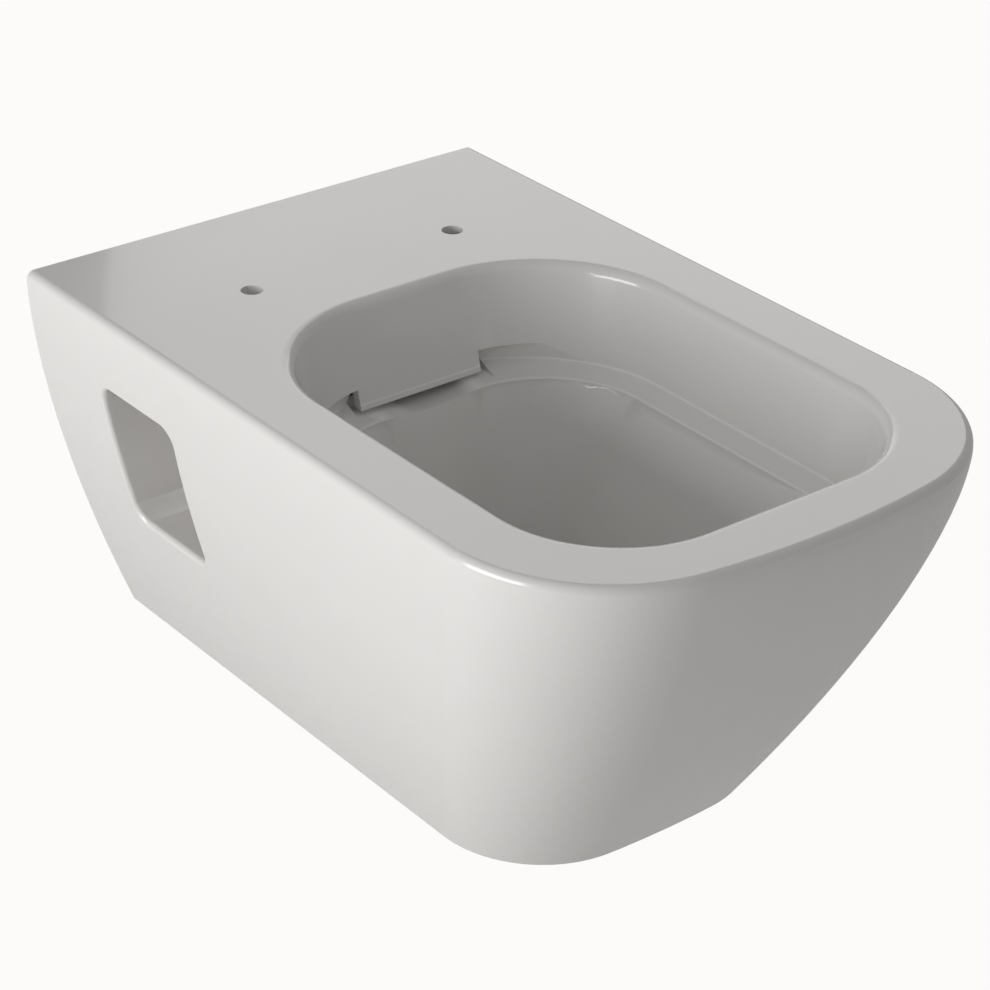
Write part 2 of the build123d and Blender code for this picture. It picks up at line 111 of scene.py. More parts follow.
def surface_group():
    """Node group for a fine surface: a small relief, and a roughness that drifts over the piece."""
    group = bpy.data.node_groups.new("fine surface", "ShaderNodeTree")
    plug = group.interface.new_socket
    for label in ("Grain", "Drift", "Depth", "Smooth", "Rough"):
        plug(name=label, in_out="INPUT", socket_type="NodeSocketFloat")
    plug(name="Normal", in_out="OUTPUT", socket_type="NodeSocketVector")
    plug(name="Roughness", in_out="OUTPUT", socket_type="NodeSocketFloat")
    nodes, link = group.nodes, group.links.new
    given = nodes.new("NodeGroupInput")
    made = nodes.new("NodeGroupOutput")
    place = nodes.new("ShaderNodeTexCoord")
    grain = nodes.new("ShaderNodeTexNoise")
    grain.inputs["Detail"].default_value = 3
    relief = nodes.new("ShaderNodeBump")
    drift = nodes.new("ShaderNodeTexNoise")
    drift.inputs["Detail"].default_value = 4
    spread = nodes.new("ShaderNodeMapRange")
    spread.inputs["From Min"].default_value = 0.3
    spread.inputs["From Max"].default_value = 0.7
    link(place.outputs["Object"], grain.inputs["Vector"])
    link(place.outputs["Object"], drift.inputs["Vector"])
    link(given.outputs["Grain"], grain.inputs["Scale"])
    link(given.outputs["Drift"], drift.inputs["Scale"])
    link(given.outputs["Depth"], relief.inputs["Distance"])
    link(grain.outputs["Fac"], relief.inputs["Height"])
    link(drift.outputs["Fac"], spread.inputs["Value"])
    link(given.outputs["Smooth"], spread.inputs["To Min"])
    link(given.outputs["Rough"], spread.inputs["To Max"])
    link(relief.outputs["Normal"], made.inputs["Normal"])
    link(spread.outputs["Result"], made.inputs["Roughness"])
    return group


fine_surface = surface_group()


def finish_for(name, colour, second_colour, fineness, patch):
    """Material whose colour drifts between two close tones, over the fine surface."""
    material = bpy.data.materials.new(name)
    material.use_nodes = True
    nodes, link = material.node_tree.nodes, material.node_tree.links.new
    shader = nodes["Principled BSDF"]
    surface = nodes.new("ShaderNodeGroup")
    surface.node_tree = fine_surface
    for label, value in fineness.items():
        surface.inputs[label].default_value = value
    link(surface.outputs["Roughness"], shader.inputs["Roughness"])
    link(surface.outputs["Normal"], shader.inputs["Normal"])
    place = nodes.new("ShaderNodeTexCoord")
    cloud = nodes.new("ShaderNodeTexNoise")
    cloud.inputs["Scale"].default_value = patch
    cloud.inputs["Detail"].default_value = 3
    tone = nodes.new("ShaderNodeMix")
    tone.data_type = "RGBA"
    tone.inputs["A"].default_value = (*colour, 1)
    tone.inputs["B"].default_value = (*second_colour, 1)
    link(place.outputs["Object"], cloud.inputs["Vector"])
    link(cloud.outputs["Fac"], tone.inputs["Factor"])
    link(tone.outputs["Result"], shader.inputs["Base Color"])
    return material


def math_node(nodes, link, kind, first, second=0.0):
    """Output of a Math node on a socket and a second socket or number."""
    node = nodes.new("ShaderNodeMath")
    node.operation = kind
    link(first, node.inputs[0])
    if isinstance(second, float):
        node.inputs[1].default_value = second
    else:
        link(second, node.inputs[1])
    return node.outputs["Value"]


def painted_ledge_highlight(nodes, link, place):
    """Mask of the two edges of the ledge, where a paler colour is painted on as a highlight."""
    split = nodes.new("ShaderNodeSeparateXYZ")
    link(place, split.inputs["Vector"])
    masks = []
    for level in (ledge_height, lip_height):
        above = math_node(nodes, link, "SUBTRACT", split.outputs["Z"], level)
        away = math_node(nodes, link, "ABSOLUTE", above)
        band = nodes.new("ShaderNodeMapRange")
        band.inputs["From Max"].default_value = ledge_highlight_width
        band.inputs["To Min"].default_value = 1.0
        band.inputs["To Max"].default_value = 0.0
        link(away, band.inputs["Value"])
        masks.append(band.outputs["Result"])
    both = math_node(nodes, link, "MAXIMUM", masks[0], masks[1])
    across = math_node(nodes, link, "ABSOLUTE", split.outputs["X"])
    inside = math_node(nodes, link, "LESS_THAN", across, pan_half - ledge_highlight_inset)
    front = math_node(nodes, link, "LESS_THAN", split.outputs["Y"], ledge_highlight_start)
    back = math_node(nodes, link, "GREATER_THAN", split.outputs["Y"], ledge_highlight_inset - pan_length)
    ends = math_node(nodes, link, "MULTIPLY", front, back)
    within = math_node(nodes, link, "MULTIPLY", inside, ends)
    return math_node(nodes, link, "MULTIPLY", both, within)


def glaze_finish():
    """Clear glaze over white china: long soft waves where it flowed, tiny pits, painted ledge highlight."""
    material = finish_for("china glaze", glaze_colour, glaze_pooled, glaze_surface, glaze_patch)
    nodes, link = material.node_tree.nodes, material.node_tree.links.new
    shader = nodes["Principled BSDF"]
    shader.inputs["IOR"].default_value = glaze_index
    shader.inputs["Coat Weight"].default_value = glaze_coat
    shader.inputs["Coat Roughness"].default_value = glaze_coat_roughness
    place = nodes.new("ShaderNodeTexCoord")
    flow = nodes.new("ShaderNodeTexNoise")
    flow.inputs["Scale"].default_value = flow_scale
    flow.inputs["Detail"].default_value = 1
    waves = nodes.new("ShaderNodeBump")
    waves.inputs["Distance"].default_value = flow_depth
    earlier = shader.inputs["Normal"].links[0].from_socket
    link(place.outputs["Object"], flow.inputs["Vector"])
    link(flow.outputs["Fac"], waves.inputs["Height"])
    link(earlier, waves.inputs["Normal"])
    link(waves.outputs["Normal"], shader.inputs["Normal"])
    link(waves.outputs["Normal"], shader.inputs["Coat Normal"])
    tone = shader.inputs["Base Color"].links[0].from_socket
    # Mixes in the paler colour at the ledge's edges: a painted highlight.
    ledge_highlight = nodes.new("ShaderNodeMix")
    ledge_highlight.data_type = "RGBA"
    ledge_highlight.inputs["B"].default_value = (*ledge_highlight_colour, 1)
    link(painted_ledge_highlight(nodes, link, place.outputs["Object"]), ledge_highlight.inputs["Factor"])
    link(tone, ledge_highlight.inputs["A"])
    link(ledge_highlight.outputs["Result"], shader.inputs["Base Color"])
    return material


def bare_finish():
    """Unglazed china: dry, a little warmer, with a fine tooth."""
    return finish_for("bare china", bare_colour, bare_pale, bare_surface, bare_patch)


def new_piece(name, mesh, body, slot, *nodes):
    """Puts a mesh in the scene as the piece that stands for some CAD nodes."""
    piece = bpy.data.objects.new(name, mesh)
    bpy.context.scene.collection.objects.link(piece)
    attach(piece, body)
    if nodes:
        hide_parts(*nodes)
    return piece


def same(value, wanted):
    """True for two lengths within a twentieth of a millimetre."""
    return abs(value - wanted) < 0.00005


def on_ledge(edge):
    """True for the creases above and below the ledge, in front of the bowl's back corners."""
    if len(edge.link_faces) != 2 or edge.calc_face_angle(0) < ledge_crease:
        return False
    first, second = (corner.co for corner in edge.verts)
    level = same(first.z, second.z) and (same(first.z, ledge_height) or same(first.z, lip_height))
    return level and max(first.y, second.y) < ledge_start


def on_apron(edge):
    """True for the sharp lower edges of the apron."""
    if len(edge.link_faces) != 2 or edge.calc_face_angle(0) < apron_crease:
        return False
    first, second = (corner.co for corner in edge.verts)
    across = max(abs(first.x), abs(second.x)) < apron_half + 0.0001
    along = max(first.y, second.y) < apron_back and min(first.y, second.y) > apron_front
    return across and along and same(first.z, apron_foot) and same(second.z, apron_foot)


def hidden_faces(shape):
    """Faces of the hollow behind the bowl, reached from its floor without crossing the glaze."""
    start = min(shape.faces, key=lambda face: (face.calc_center_median() - hollow_floor).length)
    found, waiting = {start}, [start]
    while waiting:
        face = waiting.pop()
        for edge in face.edges:
            for other in edge.link_faces:
                middle = other.calc_center_median()
                end_of_spigot = middle.y > spigot_end and other.normal.y > 0.9
                if other not in found and not end_of_spigot and middle.y < -0.0001:
                    found.add(other)
                    waiting.append(other)
    return found


def skirt_reach(x, y, z):
    """How far a point lies outside the skirt's outline at its own height."""
    share = max(0.0, (pan_top - top_band - z) / (pan_top - top_band - pan_foot))
    half = pan_half - (pan_half - base_half) * share**side_curve
    length = pan_length - (pan_length - base_length) * share**front_curve
    corner = corner_top + (corner_base - corner_top) * share
    bow = bow_top + (bow_base - bow_top) * share
    bow_y = bow - length
    corner_x = half - corner
    corner_y = bow_y - math.sqrt((bow - corner) ** 2 - corner_x**2)
    x = abs(x)
    if y >= corner_y:
        return x - half
    if x * (bow_y - corner_y) < corner_x * (bow_y - y):
        return math.hypot(x, y - bow_y) - bow
    return math.hypot(x - corner_x, y - corner_y) - corner


def outline_reach(x, y, outline):
    """How far a point lies outside a bowl outline of half width, back, front and two corner radii."""
    half, back, front, back_corner, front_corner = outline
    x = abs(x)
    if y > -back - back_corner:
        corner, past = back_corner, y + back + back_corner
    elif y < front_corner - front:
        corner, past = front_corner, front_corner - front - y
    else:
        return x - half
    side = x - half + corner
    if side > 0 and past > 0:
        return math.hypot(side, past) - corner
    return max(x - half, past - corner)


def part_way(first, second, shares):
    """Outline between two others; each of its sizes may take its own share."""
    return tuple(a + (b - a) * share for a, b, share in zip(first, second, shares))


def wall_reach(x, y, z):
    """The leaning wall between the deck and the ledge."""
    share = (pan_top - z) / (pan_top - ledge_height)
    return -outline_reach(x, y, part_way(mouth, wall_foot, [share] * 5))


def recess_reach(x, y, z):
    """The upright wall of the recess behind the apron."""
    return -outline_reach(x, y, recess)


def ledge_reach(x, y, z):
    """The sloping ledge."""
    share = (ledge_height - z) / (ledge_height - lip_height)
    return -outline_reach(x, y, part_way(recess, lip, [share] * 5))


def bowl_reach(x, y, z):
    """The bowl below the ledge, drawing in to the sump."""
    left = min(1.0, max(0.0, (z - sump_floor) / (lip_height - sump_floor)))
    return -outline_reach(x, y, part_way(sump, lip, [left**curve for curve in sump_curves]))


# Each surface of the china that follows a formula, with the heights between which it shows.
form_surfaces = (
    (skirt_reach, pan_foot + foot_round, pan_top - top_round),
    (wall_reach, apron_foot, pan_top - mouth_round),
    (recess_reach, ledge_height, recess_top),
    (ledge_reach, lip_height, ledge_height),
    (bowl_reach, sump_floor + sump_round, lip_height),
)


def form_normal(reach, point):
    """Direction in which a surface faces at a point, from how fast its reach changes."""
    step = 0.00001
    x, y, z = point
    here = reach(x, y, z)
    slope = (reach(x + step, y, z) - here, reach(x, y + step, z) - here, reach(x, y, z + step) - here)
    return Vector(slope).normalized()


def surface_of(face):
    """The form surface that a face lies on, or None."""
    middle = face.calc_center_median()
    for reach, low, high in form_surfaces:
        shows = low - form_margin < middle.z < high + form_margin
        if shows and abs(reach(*middle)) < form_reach:
            if form_normal(reach, middle).angle(face.normal, 3) < form_angle:
                return reach
    return None


def flat_patches(shape):
    """Facing of the flat patch that each face lies in, by face number, for the large patches."""
    patches, seen = {}, set()
    for start in shape.faces:
        if start in seen:
            continue
        patch, waiting = [start], [start]
        seen.add(start)
        while waiting:
            face = waiting.pop()
            for other in (other for edge in face.edges for other in edge.link_faces):
                if other in seen or other.calc_area() <= 0:
                    continue
                if other.normal.angle(start.normal, 1) < flat_angle:
                    seen.add(other)
                    patch.append(other)
                    waiting.append(other)
        if sum(face.calc_area() for face in patch) > flat_area:
            patches.update({face.index: start.normal.copy() for face in patch})
    return patches


def even_shading(mesh, patches, forms):
    """Lets each face shine as the true surface does, and rounded edges run into it evenly."""
    around = {}
    bent = [Vector(normal.vector) for normal in mesh.corner_normals]
    for face in mesh.polygons:
        for corner in face.loop_indices:
            vertex = mesh.loops[corner].vertex_index
            if face.index in forms:
                bent[corner] = form_normal(forms[face.index], mesh.vertices[vertex].co)
            elif face.index in patches:
                bent[corner] = patches[face.index]
            else:
                continue
            around.setdefault(vertex, []).append(bent[corner])
    for face in mesh.polygons:
        if face.index in forms or face.index in patches:
            continue
        for corner in face.loop_indices:
            flats = around.get(mesh.loops[corner].vertex_index, [])
            near = max(flats, key=lambda flat: flat.dot(face.normal), default=None)
            if near is not None and near.angle(face.normal, 3) < blend_angle:
                bent[corner] = near
    mesh.normals_split_custom_set(bent)


def pan_mesh():
    """The china with its ledge and apron creases softened, its bare faces marked and even gloss."""
    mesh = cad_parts["china_pan"].data.copy()
    mesh.name = "pan"
    shape = bmesh.new()
    shape.from_mesh(mesh)
    bmesh.ops.remove_doubles(shape, verts=shape.verts, dist=0.000001)
    shape.normal_update()
    for chosen, radius in ((on_ledge, ledge_round), (on_apron, apron_round)):
        creases = [edge for edge in shape.edges if chosen(edge)]
        bmesh.ops.bevel(
            shape, geom=creases, offset=radius, segments=3, profile=0.5, affect="EDGES", clamp_overlap=False
        )
        shape.normal_update()
    for face in shape.faces:
        face.smooth = True
        face.material_index = 0
    for face in hidden_faces(shape):
        face.material_index = 1
    for face in shape.faces:
        if all(corner.co.y > -0.00001 for corner in face.verts):
            face.material_index = 1
    shape.normal_update()
    shape.faces.index_update()
    forms = {face.index: surface_of(face) for face in shape.faces}
    forms = {index: reach for index, reach in forms.items() if reach}
    patches = flat_patches(shape)
    shape.to_mesh(mesh)
    shape.free()
    mesh.materials.clear()
    mesh.materials.append(glaze_finish())
    mesh.materials.append(bare_finish())
    mesh.set_sharp_from_angle(angle=crease_angle)
    even_shading(mesh, patches, forms)
    return mesh


new_piece("pan", pan_mesh(), "pan", "china", "china_pan")

# The fixing rods: M12 steel, rolled thread at both ends, zinc plated. Each screws into the frame
# behind the wall and passes through the pan to its nut.
rod_turns_apart = 0.00175
thread_depth = 0.00092
wall_thread = 0.057
nut_thread = 0.030
shank_radius = 0.00545
rod_end_chamfer = 0.001
thread_runout = 0.0005
thread_fade = 0.002
groove_slope, groove_crest = 1.35, 0.1
rows_per_turn = 10
zinc_colour = (0.60, 0.61, 0.62)
zinc_dull = (0.50, 0.505, 0.50)
zinc_surface = {"Grain": 1200, "Drift": 90, "Depth": 0.000006, "Smooth": 0.24, "Rough": 0.42}
zinc_patch = 120.0


def zinc_finish():
    """Bright zinc plate, a little clouded."""
    material = finish_for("zinc plate", zinc_colour, zinc_dull, zinc_surface, zinc_patch)
    material.node_tree.nodes["Principled BSDF"].inputs["Metallic"].default_value = 1.0
    return material


zinc = zinc_finish()


def hub(node):
    """Centre line, outer radius, front and back of a round piece that lies along Y."""
    low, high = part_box(node)
    return (low[0] + high[0]) / 2, (low[2] + high[2]) / 2, (high[2] - low[2]) / 2, low[1], high[1]


def skin(name, line, centre, around, closed, shape=None):
    """Mesh turned about a line along Y from (radius, place) points; shape may change each radius."""
    x, z = centre
    form = bmesh.new()
    rings = []
    for radius, y in line:
        if radius < 1e-9:
            rings.append([form.verts.new((x, y, z))] * around)
            continue
        ring = []
        for step in range(around):
            angle = 2 * math.pi * step / around
            reach = shape(radius, y, angle) if shape else radius
            ring.append(form.verts.new((x + reach * math.cos(angle), y, z + reach * math.sin(angle))))
        rings.append(ring)
    pairs = list(zip(rings, rings[1:] + rings[:1])) if closed else list(zip(rings, rings[1:]))
    for near, far in pairs:
        for step in range(around):
            after = (step + 1) % around
            corners = list(dict.fromkeys((near[step], near[after], far[after], far[step])))
            if len(corners) > 2:
                form.faces.new(corners)
    bmesh.ops.recalc_face_normals(form, faces=form.faces)
    for face in form.faces:
        face.smooth = True
    mesh = bpy.data.meshes.new(name)
    form.to_mesh(mesh)
    form.free()
    mesh.set_sharp_from_angle(angle=crease_angle)
    return mesh


def eased(corners, ease, closed=True, steps=4):
    """Line of (radius, place) corners with each corner rounded by about the given length."""
    line = []
    last = len(corners) - 1
    for index, corner in enumerate(corners):
        if not closed and index in (0, last):
            line.append(corner)
            continue
        here = Vector(corner)
        before = Vector(corners[index - 1]) - here
        after = Vector(corners[(index + 1) % len(corners)]) - here
        start = here + before.normalized() * min(ease, before.length * 0.45)
        end = here + after.normalized() * min(ease, after.length * 0.45)
        for step in range(steps + 1):
            share = step / steps
            point = start * (1 - share) ** 2 + here * 2 * share * (1 - share) + end * share**2
            line.append((point.x, point.y))
    return line


def rod_line(radius, front, back):
    """Outline of a rod, with close rows along its threads and few along its shank."""
    row = rod_turns_apart / rows_per_turn
    line = [(0.0, front), (radius - rod_end_chamfer, front), (radius, front + rod_end_chamfer)]
    first_rows = round((nut_thread - rod_end_chamfer) / row)
    line += [(radius, front + rod_end_chamfer + row * step) for step in range(1, first_rows)]
    line.append((shank_radius, front + nut_thread + thread_runout))
    line.append((shank_radius, back - wall_thread - thread_runout))
    rows = round((wall_thread - rod_end_chamfer) / row)
    line += [(radius, back - wall_thread + row * step) for step in range(rows)]
    return line + [(radius, back - rod_end_chamfer), (radius - rod_end_chamfer, back), (0.0, back)]


def rod_mesh(word):
    """Rod with a helical groove cut into both threaded ends."""
    x, z, radius, front, back = hub("threaded_rod_" + word)

    def groove(reach, y, angle):
        if reach < radius - 0.00001:
            return reach
        turn = (y / rod_turns_apart - angle / (2 * math.pi)) % 1.0
        depth = min(1.0, max(0.0, groove_slope * abs(2 * turn - 1) - groove_crest))
        fade = min(1.0, (y - front) / thread_fade, (back - y) / thread_fade)
        return reach - thread_depth * depth * fade

    return skin("rod_" + word, rod_line(radius, front, back), (x, z), 40, False, groove)


for word in ("left", "right"):
    mesh = rod_mesh(word)
    mesh.materials.append(zinc)
    new_piece("rod_" + word, mesh, "pan", "zinc_steel", "threaded_rod_" + word)

# The rod sleeves: extruded plastic tube with crush ribs, pushed into the china tube so that the
# steel never touches the glaze.
sleeve_inner = 0.00635
rib_count = 6
rib_radius = 0.00045
rib_short = 0.002
sleeve_edge = 0.0003
plastic_colour = (0.80, 0.80, 0.79)
plastic_shade = (0.77, 0.77, 0.755)
plastic_surface = {"Grain": 1400, "Drift": 40, "Depth": 0.00001, "Smooth": 0.3, "Rough": 0.42}
plastic_patch = 60.0


def plastic_finish():
    """White moulded plastic with a soft spark-eroded texture."""
    return finish_for("white plastic", plastic_colour, plastic_shade, plastic_surface, plastic_patch)


white_plastic = plastic_finish()


def rib_tree():
    """Geometry Nodes tree: round ribs along Y, spaced evenly about a centre line."""
    tree = bpy.data.node_groups.new("round ribs", "GeometryNodeTree")
    plug = tree.interface.new_socket
    plug(name="Geometry", in_out="INPUT", socket_type="NodeSocketGeometry")
    plug(name="Count", in_out="INPUT", socket_type="NodeSocketInt")
    for label in ("Ring Radius", "Rib Radius", "Rib Length"):
        plug(name=label, in_out="INPUT", socket_type="NodeSocketFloat")
    plug(name="Centre", in_out="INPUT", socket_type="NodeSocketVector")
    plug(name="Finish", in_out="INPUT", socket_type="NodeSocketMaterial")
    plug(name="Geometry", in_out="OUTPUT", socket_type="NodeSocketGeometry")
    nodes, link = tree.nodes, tree.links.new
    given = nodes.new("NodeGroupInput")
    made = nodes.new("NodeGroupOutput")
    circle = nodes.new("GeometryNodeMeshCircle")
    turn_ring = nodes.new("GeometryNodeTransform")
    turn_ring.inputs["Rotation"].default_value = (math.pi / 2, 0, 0)
    rib = nodes.new("GeometryNodeMeshCylinder")
    rib.inputs["Vertices"].default_value = 10
    turn_rib = nodes.new("GeometryNodeTransform")
    turn_rib.inputs["Rotation"].default_value = (math.pi / 2, 0, 0)
    set_out = nodes.new("GeometryNodeInstanceOnPoints")
    real = nodes.new("GeometryNodeRealizeInstances")
    join = nodes.new("GeometryNodeJoinGeometry")
    coat = nodes.new("GeometryNodeSetMaterial")
    link(given.outputs["Count"], circle.inputs["Vertices"])
    link(given.outputs["Ring Radius"], circle.inputs["Radius"])
    link(circle.outputs["Mesh"], turn_ring.inputs["Geometry"])
    link(given.outputs["Centre"], turn_ring.inputs["Translation"])
    link(given.outputs["Rib Radius"], rib.inputs["Radius"])
    link(given.outputs["Rib Length"], rib.inputs["Depth"])
    link(rib.outputs["Mesh"], turn_rib.inputs["Geometry"])
    link(turn_ring.outputs["Geometry"], set_out.inputs["Points"])
    link(turn_rib.outputs["Geometry"], set_out.inputs["Instance"])
    link(set_out.outputs["Instances"], join.inputs["Geometry"])
    link(given.outputs["Geometry"], join.inputs["Geometry"])
    link(join.outputs["Geometry"], real.inputs["Geometry"])
    link(real.outputs["Geometry"], coat.inputs["Geometry"])
    link(given.outputs["Finish"], coat.inputs["Material"])
    link(coat.outputs["Geometry"], made.inputs["Geometry"])
    return tree


round_ribs = rib_tree()


def ribbed(mesh, finish, count, ring_radius, thickness, length, centre):
    """Plain mesh of a round piece with ribs set round it by the rib tree."""
    blank = bpy.data.objects.new(mesh.name + "_blank", mesh)
    bpy.context.scene.collection.objects.link(blank)
    setter = blank.modifiers.new("ribs", "NODES")
    setter.node_group = round_ribs
    values = {
        "Count": count,
        "Ring Radius": ring_radius,
        "Rib Radius": thickness,
        "Rib Length": length,
        "Centre": centre,
        "Finish": finish,
    }
    for socket in round_ribs.interface.items_tree:
        if socket.in_out == "INPUT" and socket.name in values:
            setter[socket.identifier] = values[socket.name]
    bpy.context.view_layer.update()
    ready = blank.evaluated_get(bpy.context.evaluated_depsgraph_get())
    result = bpy.data.meshes.new_from_object(ready)
    blank.modifiers.remove(setter)
    bpy.data.objects.remove(blank)
    for face in result.polygons:
        face.use_smooth = True
    result.set_sharp_from_angle(angle=crease_angle)
    return result


def sleeve_mesh(word):
    """Tube with long ribs that grip the china."""
    x, z, radius, front, back = hub("rod_sleeve_" + word)
    wall = radius - 1.2 * rib_radius
    corners = [(sleeve_inner, front), (wall, front), (wall, back), (sleeve_inner, back)]
    tube = skin("sleeve_" + word, eased(corners, sleeve_edge), (x, z), 48, True)
    tube.materials.append(white_plastic)
    middle = (x, (front + back) / 2, z)
    ring = radius - rib_radius
    length = back - front - rib_short
    return ribbed(tube, white_plastic, rib_count, ring, rib_radius, length, middle)


for word in ("left", "right"):
    new_piece("sleeve_" + word, sleeve_mesh(word), "pan", "white_plastic", "rod_sleeve_" + word)

# The washers: a thick moulded plastic one against the china, so that the steel never bears on it,
# and a stamped zinc plated steel one under the nut. Both slip over the rod.
washer_bore = 0.00635
stamped_edge = 0.0005
moulded_edge = 0.0009


def washer_mesh(node, name, edge):
    """Flat ring with its rims eased."""
    x, z, radius, front, back = hub(node)
    corners = [(washer_bore, front), (radius, front), (radius, back), (washer_bore, back)]
    return skin(name, eased(corners, edge), (x, z), 64, True)


for word in ("left", "right"):
    mesh = washer_mesh("plastic_washer_" + word, "soft_washer_" + word, moulded_edge)
    mesh.materials.append(white_plastic)
    new_piece("soft_washer_" + word, mesh, "pan", "white_plastic", "plastic_washer_" + word)
    mesh = washer_mesh("steel_washer_" + word, "hard_washer_" + word, stamped_edge)
    mesh.materials.append(zinc)
    new_piece("hard_washer_" + word, mesh, "pan", "zinc_steel", "steel_washer_" + word)

# The nuts: M12 steel hexagon nuts, forged and tapped, zinc plated, with turned chamfers on both
# faces. Each screws onto the front end of its rod and holds the pan to the wall.
nut_face = 0.0092
nut_countersink = 0.0012
nut_chamfer_slope = math.tan(math.radians(30))
nut_rows = (0.0, 0.0002, 0.0004, 0.0006, 0.0008, 0.00105, 0.002)


def nut_mesh(word):
    """Hexagon cut by a chamfer cone at each face."""
    x, z, half_flats, front, back = hub("nut_" + word)
    inner = hub("threaded_rod_" + word)[2]
    corner = half_flats / math.cos(math.pi / 6)

    def hexagon(reach, y, angle):
        if reach < corner - 0.00001:
            return reach
        from_flat = (angle - math.pi / 2 + math.pi / 6) % (math.pi / 3) - math.pi / 6
        depth = min(y - front, back - y)
        return min(half_flats / math.cos(from_flat), nut_face + depth / nut_chamfer_slope)

    line = [(inner, front), (nut_face - nut_countersink, front)]
    line += [(corner, front + row) for row in nut_rows]
    line += [(corner, back - row) for row in reversed(nut_rows)]
    line += [(nut_face - nut_countersink, back), (inner, back)]
    return skin("nut_" + word, line, (x, z), 96, True, hexagon)


for word in ("left", "right"):
    mesh = nut_mesh(word)
    mesh.materials.append(zinc)
    new_piece("m12_nut_" + word, mesh, "pan", "zinc_steel", "nut_" + word)

# The cover caps: thin white moulded plastic cups pushed over the nuts, with finger ribs to pull
# them off. Each rides on its own sliding body.
cap_wall = 0.002
cap_nose = 0.004
nose_steps = 8
cap_edge = 0.0004
cap_corner = 0.0006
bead_height = 0.0022
bead_out = 0.00025
grip_count = 24
grip_radius = 0.0005
grip_length = 0.010
grip_start = 0.001


def cap_mesh(word):
    """Cup with a domed nose and a lipped mouth."""
    x, z, radius, front, back = hub("cover_cap_" + word)
    inner = radius - cap_wall
    wall = radius - bead_out
    bottom = front + 2 * cap_wall
    line = [(0.0, front), (wall - cap_nose, front)]
    for step in range(1, nose_steps + 1):
        angle = math.pi / 2 * step / nose_steps
        reach = wall - cap_nose * (1 - math.sin(angle))
        line.append((reach, front + cap_nose * (1 - math.cos(angle))))
    line += [(wall, back - bead_height - cap_edge), (radius, back - bead_height)]
    line += [(radius, back - cap_edge), (radius - cap_edge, back)]
    line += [(inner + cap_edge, back), (inner, back - cap_edge)]
    line += [(inner, bottom + cap_corner), (inner - cap_corner, bottom), (0.0, bottom)]
    cup = skin("cap_" + word, line, (x, z), 72, False)
    cup.materials.append(white_plastic)
    middle = (x, front + cap_nose + grip_length / 2 + grip_start, z)
    ring = wall - bead_out
    return ribbed(cup, white_plastic, grip_count, ring, grip_radius, grip_length, middle)


for word in ("left", "right"):
    new_piece("cap_" + word, cap_mesh(word), word + "_cap", "white_plastic", "cover_cap_" + word)

# The flush pipe: extruded dark polyethylene from the hidden cistern, cut square and chamfered so
# that it slides into its rubber cuff, with a groove that shows how far it goes in.
pipe_wall = 0.002
pipe_groove = 0.0004
pipe_groove_width = 0.001
pipe_groove_slope = 0.0002
pipe_chamfer = 0.0012
pipe_edge = 0.0005
polyethylene_colour = (0.030, 0.031, 0.034)
polyethylene_scuffed = (0.045, 0.046, 0.049)
polyethylene_surface = {"Grain": 700, "Drift": 50, "Depth": 0.00002, "Smooth": 0.36, "Rough": 0.52}
polyethylene_patch = 45


def polyethylene_finish():
    """Dark waxy plastic, drawn smooth, faintly scuffed."""
    colours = (polyethylene_colour, polyethylene_scuffed)
    return finish_for("dark polyethylene", *colours, polyethylene_surface, polyethylene_patch)


polyethylene = polyethylene_finish()


def pipe_mesh():
    """Tube with a chamfered entry and a shallow groove at the wall."""
    x, z, radius, front, back = hub("flush_pipe")
    inner = radius - pipe_wall
    corners = [
        (inner, front),
        (radius - pipe_chamfer, front),
        (radius, front + 2 * pipe_chamfer),
        (radius, 0.0),
        (radius - pipe_groove, pipe_groove_slope),
        (radius - pipe_groove, pipe_groove_width - pipe_groove_slope),
        (radius, pipe_groove_width),
        (radius, back - pipe_edge),
        (radius - pipe_edge, back),
        (inner, back),
    ]
    return skin("water_pipe", eased(corners, 0.00015, steps=2), (x, z), 96, True)


mesh = pipe_mesh()
mesh.materials.append(polyethylene)
new_piece("water_pipe", mesh, "pan", "flush_pipe", "flush_pipe")

# The inlet cuff: moulded black rubber with soft lips on its outside. It sits in the china socket
# and seals the flush pipe there.
lip_count = 4
lip_groove = 0.0025
cuff_play = 0.0003
cuff_edge = 0.0008
rubber_colour = (0.018, 0.018, 0.019)
rubber_bloom = (0.032, 0.031, 0.031)
rubber_surface = {"Grain": 1100, "Drift": 70, "Depth": 0.00003, "Smooth": 0.62, "Rough": 0.8}
rubber_patch = 90.0


def rubber_finish():
    """Black rubber, matt, with a faint grey bloom."""
    return finish_for("black rubber", rubber_colour, rubber_bloom, rubber_surface, rubber_patch)


rubber = rubber_finish()


def cuff_mesh():
    """Sleeve with round lips and a thicker rim at the wall side."""
    x, z, radius, front, back = hub("inlet_seal")
    bore = hub("flush_pipe")[2] + cuff_play
    root = radius - lip_groove
    pitch = (back - front) / (2 * lip_count - 1)
    corners = [(bore, back), (bore, front)]
    for number in range(lip_count):
        start = front + 2 * number * pitch
        corners += [(root, start), (radius, start + 0.25 * pitch)]
        corners += [(radius, start + 0.6 * pitch), (root, start + pitch)]
    return skin("inlet_cuff", eased(corners, cuff_edge, steps=3), (x, z), 96, True)


mesh = cuff_mesh()
mesh.materials.append(rubber)
new_piece("inlet_cuff", mesh, "pan", "seal_rubber", "inlet_seal")

# The outlet ring: moulded black rubber with three lips on its outside. It fits over the china
# spigot and seals it in the waste socket.
ring_lips = 3
ring_groove = 0.0012
ring_bore = 0.0513
ring_edge = 0.0006


